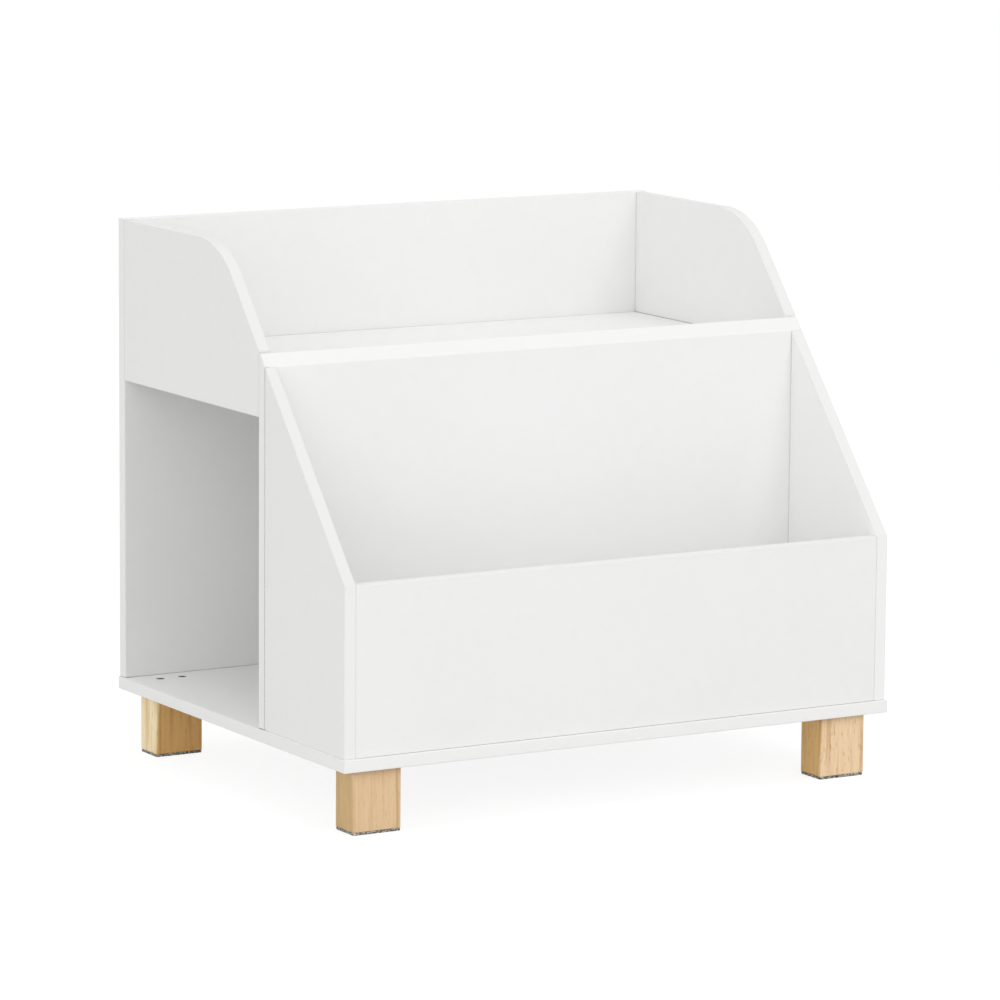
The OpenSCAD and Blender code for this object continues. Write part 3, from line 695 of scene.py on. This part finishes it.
def pad_outline(half_w, half_d, radius, gap):
    """[(point, outward direction)] evenly around a rectangle with round corners."""
    points = []
    corners = ((1, 1), (-1, 1), (-1, -1), (1, -1))
    arc_count = max(4, round(radius * math.pi / 2 / gap))
    for number, (x, y) in enumerate(corners):
        centre = Vector((x * (half_w - radius), y * (half_d - radius), 0))
        for step in range(arc_count + 1):
            angle = (number + step / arc_count) * math.pi / 2
            out = Vector((math.cos(angle), math.sin(angle), 0))
            points.append((centre + out * radius, out))
        following = corners[(number + 1) % 4]
        ahead = Vector((following[0] * (half_w - radius), following[1] * (half_d - radius), 0))
        span = ahead - centre
        count = round(span.length / gap)
        start = points[-1][0]
        for step in range(1, count):
            points.append((start + span * (step / count), out))
    return points


def add_ring(bm, points):
    """Corners of a ring, in order."""
    return [bm.verts.new(point) for point in points]


def join_rings(bm, lower, upper):
    """Faces between two rings with equally many corners."""
    count = len(lower)
    for i in range(count):
        j = (i + 1) % count
        bm.faces.new((lower[i], lower[j], upper[j], upper[i]))


def close_ring(bm, ring, centre, upwards):
    """Fan of faces from a ring to its centre."""
    tip = bm.verts.new(centre)
    count = len(ring)
    for i in range(count):
        j = (i + 1) % count
        corners = (ring[i], ring[j], tip) if upwards else (ring[j], ring[i], tip)
        bm.faces.new(corners)


def add_fibre(bm, points, radius):
    """Thin three-sided tube through the points, tapered to its ends."""
    rings = []
    for i, point in enumerate(points):
        ahead = points[min(i + 1, len(points) - 1)] - points[max(i - 1, 0)]
        side = ahead.cross(Vector(ASIDE)).normalized()
        other = ahead.cross(side).normalized()
        thin = radius * (0.5 if i in (0, len(points) - 1) else 1.0)
        turns = [2 * math.pi * k / FIBRE_SIDES for k in range(FIBRE_SIDES)]
        corners = [point + (side * math.cos(a) + other * math.sin(a)) * thin for a in turns]
        rings.append(add_ring(bm, corners))
    faces = len(bm.faces)
    for lower, upper in zip(rings, rings[1:]):
        join_rings(bm, lower, upper)
    bm.faces.new(rings[0][::-1])
    bm.faces.new(rings[-1])
    bm.faces.ensure_lookup_table()
    for face in bm.faces[faces:]:
        face.material_index = 1


def felt_pad_mesh(look, node, seed):
    """Pad with a soft, uneven cut edge and loose fibres, in the place of its node."""
    rng = random.Random(seed)
    low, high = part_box(node)
    middle, size = (low + high) / 2, high - low
    half_w, half_d = size.x / 2 - look.inset, size.y / 2 - look.inset
    outline = pad_outline(half_w, half_d, look.corner, OUTLINE_GAP)
    bm = bmesh.new()
    rings = []
    for share, inset in PAD_ROWS:
        z = low.z + size.z * share
        points = []
        for point, out in outline:
            spot = Vector((point.x, point.y, z))
            uneven = noise.noise((spot + middle) * COARSE_SCALE) * look.unevenness
            uneven += noise.noise((spot + middle) * FINE_SCALE) * look.unevenness / 2
            stand = look.bulge * math.sin(math.pi * share) - inset + uneven
            points.append(middle.xy.to_3d() + spot + out * stand)
        rings.append(add_ring(bm, points))
    for lower, upper in zip(rings, rings[1:]):
        join_rings(bm, lower, upper)
    for edge, upwards in ((rings[0], False), (rings[-1], True)):
        ring = edge
        for shrink in FACE_RINGS:
            z = edge[0].co.z + (-FACE_DEPTH if upwards else FACE_DEPTH)
            centre = Vector((middle.x, middle.y, z))
            inner = [centre + (v.co.xy - middle.xy).to_3d() * shrink for v in edge]
            inner = add_ring(bm, inner)
            if upwards:
                join_rings(bm, ring, inner)
            else:
                join_rings(bm, inner, ring)
            ring = inner
        close_ring(bm, ring, centre, upwards)

    for _ in range(look.fibre_count):
        point, out = rng.choice(outline)
        tangent = Vector((-out.y, out.x, 0))
        share = rng.uniform(0.1, 0.95)
        spot = middle.xy.to_3d() + Vector((point.x, point.y, low.z + size.z * share))
        pitch = rng.gauss(0, FIBRE_SLOPE)
        run = tangent * math.cos(pitch) + Vector((0, 0, math.sin(pitch)))
        run *= rng.choice((-1, 1)) * look.fibre_length * rng.uniform(0.4, 1.0)
        stand = rng.uniform(*FIBRE_STAND)
        path = []
        for t in FIBRE_STEPS:
            arch = math.sin(math.pi * min(1.0, t * rng.uniform(0.75, 1.05)))
            away = stand * arch - FIBRE_ROOT
            place = spot + run * t + out * (away + look.bulge)
            place.z = max(place.z, look.fibre_radius * 1.5)
            path.append(place)
        add_fibre(bm, path, look.fibre_radius * rng.uniform(0.7, 1.2))
    for face in bm.faces:
        face.smooth = True
    mesh = bpy.data.meshes.new(node.replace("_felt_pad", "") + "_felt")
    bm.to_mesh(mesh)
    bm.free()
    return mesh


class BOOKCASE_OT_lacquer_boards(bpy.types.Operator):
    """Lacquer the ten boards white"""

    bl_idname = "bookcase.lacquer_boards"
    bl_label = "Lacquer Boards"
    bl_options = {"REGISTER", "UNDO"}

    def execute(self, context):
        look = context.scene.bookcase_boards
        for name, axis, painted_light_face_tones, painted_light_edge_tones, joint_shade in BOARDS:
            finish_node(name, lacquer_material(look, name, axis, painted_light_face_tones, painted_light_edge_tones, joint_shade))
        return {"FINISHED"}


class BOOKCASE_OT_finish_legs(bpy.types.Operator):
    """Give each leg its own piece of pine"""

    bl_idname = "bookcase.finish_legs"
    bl_label = "Finish Legs"
    bl_options = {"REGISTER", "UNDO"}

    def execute(self, context):
        look = context.scene.bookcase_legs
        for seed, (name, pith_offset, heart_radius, *wood_and_shade_tints, marks) in enumerate(LEGS):
            wood = pine_material(look, name, pith_offset, heart_radius, wood_and_shade_tints, marks, seed)
            finish_node(name, wood)
        return {"FINISHED"}


class BOOKCASE_OT_make_felt_pads(bpy.types.Operator):
    """Make the felt pads under the legs"""

    bl_idname = "bookcase.make_felt_pads"
    bl_label = "Make Felt Pads"
    bl_options = {"REGISTER", "UNDO"}

    def execute(self, context):
        look = context.scene.bookcase_pads
        fibres = felt_material(look, "felt_fibres", LOOSE_SHIFT)
        for seed, (node, tone_and_shade_shift) in enumerate(PADS, start=FIRST_PAD_SEED):
            node_object(node)
            mesh = felt_pad_mesh(look, node, seed)
            mesh.materials.append(felt_material(look, node.replace("felt_pad", "felt"), tone_and_shade_shift))
            mesh.materials.append(fibres)
            pad = bpy.data.objects.new(node.replace("felt_pad", "needled_felt_pad"), mesh)
            context.scene.collection.objects.link(pad)
            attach(pad, BODY)
            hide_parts(node)
        return {"FINISHED"}


class BOOKCASE_OT_blacken_leg_screws(bpy.types.Operator):
    """Give the leg screws their black oxide"""

    bl_idname = "bookcase.blacken_leg_screws"
    bl_label = "Blacken Leg Screws"
    bl_options = {"REGISTER", "UNDO"}

    def execute(self, context):
        material = black_steel_material(context.scene.bookcase_fixings)
        for name in LEG_SCREWS:
            finish_node(name, material)
        return {"FINISHED"}


class BOOKCASE_OT_plate_panel_screws(bpy.types.Operator):
    """Plate the panel screws with zinc"""

    bl_idname = "bookcase.plate_panel_screws"
    bl_label = "Plate Panel Screws"
    bl_options = {"REGISTER", "UNDO"}

    def execute(self, context):
        material = zinc_plate_material(context.scene.bookcase_fixings)
        for name in PANEL_SCREWS:
            finish_node(name, material)
        return {"FINISHED"}


class BOOKCASE_OT_finish_cam_fittings(bpy.types.Operator):
    """Finish the cast cam locks and their plated bolts"""

    bl_idname = "bookcase.finish_cam_fittings"
    bl_label = "Finish Cam Fittings"
    bl_options = {"REGISTER", "UNDO"}

    def execute(self, context):
        look = context.scene.bookcase_fixings
        casting = cast_zinc_material(look)
        plate = zinc_plate_material(look)
        for name in CAM_LOCKS:
            finish_node(name, casting)
        for name in CAM_BOLTS:
            finish_node(name, plate)
        return {"FINISHED"}


class BOOKCASE_OT_finish_dowels(bpy.types.Operator):
    """Finish the beech dowels, with the grain along each one"""

    bl_idname = "bookcase.finish_dowels"
    bl_label = "Finish Dowels"
    bl_options = {"REGISTER", "UNDO"}

    def execute(self, context):
        look = context.scene.bookcase_fixings
        for axis, names in DOWELS.items():
            material = beech_material(look, axis)
            for name in names:
                finish_node(name, material)
        return {"FINISHED"}


def white_surround(strength):
    """World that lights evenly and looks white behind the bookcase and in its reflections."""
    world = bpy.data.worlds.new("white_surround")
    graph = Graph(world)
    light = graph.add("Background", {"Color": (1, 1, 1, 1), "Strength": strength})
    seen = graph.add("Background", {"Color": (1, 1, 1, 1), "Strength": 1.0})
    both = graph.add("MixShader", {0: seen_rays(graph), 1: light.outputs[0], 2: seen.outputs[0]})
    graph.add("OutputWorld", {"Surface": both.outputs[0]})
    return world


def seen_rays(graph):
    """1 for what the camera sees, straight, in a reflection or through glass."""
    path = graph.add("LightPath")
    shown = graph.math("ADD", path.outputs["Is Camera Ray"], path.outputs["Is Glossy Ray"])
    return graph.math("ADD", shown, path.outputs["Is Transmission Ray"], clamp=True)


def floor_material(look):
    """Pale floor that looks white and keeps a light shadow."""
    material, graph = new_graph("pale_floor")
    cloud = graph.noise(graph.place, 2.0, 3.0)
    dim = toned(look.floor, FLOOR_CLOUD)
    plain = graph.add("BsdfDiffuse", {"Color": graph.mix(cloud, look.floor, dim)})
    shadowed = graph.add("BsdfDiffuse", {"Color": (*[look.shadow] * 3, 1)})
    glow = graph.add("Emission", {"Strength": FLOOR_WHITE - look.shadow * look.sky})
    white = graph.add("AddShader", {0: shadowed.outputs[0], 1: glow.outputs[0]})
    both = graph.add("MixShader", {0: seen_rays(graph), 1: plain.outputs[0], 2: white.outputs[0]})
    graph.add("OutputMaterial", {"Surface": both.outputs[0]})
    return material


def add_floor(scene, look):
    """Round floor under the bookcase."""
    bm = bmesh.new()
    bmesh.ops.create_circle(
        bm, cap_ends=True, segments=FLOOR_SEGMENTS, radius=look.floor_radius
    )
    mesh = bpy.data.meshes.new("floor")
    bm.to_mesh(mesh)
    bm.free()
    mesh.materials.append(floor_material(look))
    floor = bpy.data.objects.new("floor", mesh)
    scene.collection.objects.link(floor)


def add_lamp(scene, name, power, place, size, tint):
    """Flat soft lamp that points at the middle of the bookcase."""
    light = bpy.data.lights.new(name, "AREA")
    light.energy = power
    light.color = tint
    light.shape = "RECTANGLE"
    light.size, light.size_y = size
    lamp = bpy.data.objects.new(name, light)
    lamp.location = place
    aim = (CAD_BOX[0] + CAD_BOX[1]) / 2 - lamp.location
    lamp.rotation_euler = aim.to_track_quat("-Z", "Y").to_euler()
    lamp.visible_camera = False
    scene.collection.objects.link(lamp)


def add_camera(scene, look):
    """Camera at the place and with the aim of its settings."""
    camera = bpy.data.cameras.new("camera")
    camera.sensor_width = SENSOR_WIDTH
    camera.lens = look.lens
    camera.clip_end = CAMERA_REACH
    turn, tilt, roll = look.camera_aim
    aim = Matrix.Rotation(-turn, 3, "Z")
    aim = aim @ Matrix.Rotation(math.pi / 2 - tilt, 3, "X")
    aim = aim @ Matrix.Rotation(roll, 3, "Z")
    eye = bpy.data.objects.new("camera", camera)
    eye.matrix_world = Matrix.Translation(look.camera_place) @ aim.to_4x4()
    scene.collection.objects.link(eye)
    scene.camera = eye


class BOOKCASE_OT_set_stage(bpy.types.Operator):
    """Set up the floor, the lamps and the camera"""

    bl_idname = "bookcase.set_stage"
    bl_label = "Set Stage"
    bl_options = {"REGISTER", "UNDO"}

    def execute(self, context):
        scene = context.scene
        look = scene.bookcase_stage
        scene.view_settings.view_transform = "Standard"
        scene.world = white_surround(look.sky)
        add_floor(scene, look)
        for name, place, size, tint in LAMPS:
            add_lamp(scene, name, getattr(look, name), place, size, tint)
        add_camera(scene, look)
        return {"FINISHED"}


# Scene property, its group, and the operators that use it
STEPS = (
    ("bookcase_boards", BookcaseBoardProps, (BOOKCASE_OT_lacquer_boards,)),
    ("bookcase_legs", BookcaseLegProps, (BOOKCASE_OT_finish_legs,)),
    ("bookcase_pads", BookcasePadProps, (BOOKCASE_OT_make_felt_pads,)),
    (
        "bookcase_fixings",
        BookcaseFixingProps,
        (
            BOOKCASE_OT_blacken_leg_screws,
            BOOKCASE_OT_plate_panel_screws,
            BOOKCASE_OT_finish_cam_fittings,
            BOOKCASE_OT_finish_dowels,
        ),
    ),
    ("bookcase_stage", BookcaseStageProps, (BOOKCASE_OT_set_stage,)),
)


class BOOKCASE_PT_panel(bpy.types.Panel):
    """Sizes, colours and steps of the bookcase"""

    bl_idname = "BOOKCASE_PT_panel"
    bl_label = "Kids Bookcase"
    bl_space_type = "VIEW_3D"
    bl_region_type = "UI"
    bl_category = "Bookcase"

    def draw(self, context):
        for attribute, group, operators in STEPS:
            box = self.layout.box()
            for name in group.__annotations__:
                box.prop(getattr(context.scene, attribute), name)
            for operator in operators:
                box.operator(operator.bl_idname)


def register():
    for attribute, group, operators in STEPS:
        bpy.utils.register_class(group)
        setattr(bpy.types.Scene, attribute, PointerProperty(type=group))
        for operator in operators:
            bpy.utils.register_class(operator)
    bpy.utils.register_class(BOOKCASE_PT_panel)


def unregister():
    bpy.utils.unregister_class(BOOKCASE_PT_panel)
    for attribute, group, operators in reversed(STEPS):
        for operator in reversed(operators):
            bpy.utils.unregister_class(operator)
        delattr(bpy.types.Scene, attribute)
        bpy.utils.unregister_class(group)


def main():
    register()
    bpy.ops.bookcase.lacquer_boards()
    bpy.ops.bookcase.finish_legs()
    bpy.ops.bookcase.make_felt_pads()
    bpy.ops.bookcase.blacken_leg_screws()
    bpy.ops.bookcase.plate_panel_screws()
    bpy.ops.bookcase.finish_cam_fittings()
    bpy.ops.bookcase.finish_dowels()
    bpy.ops.bookcase.set_stage()


if __name__ == "__main__":
    main()
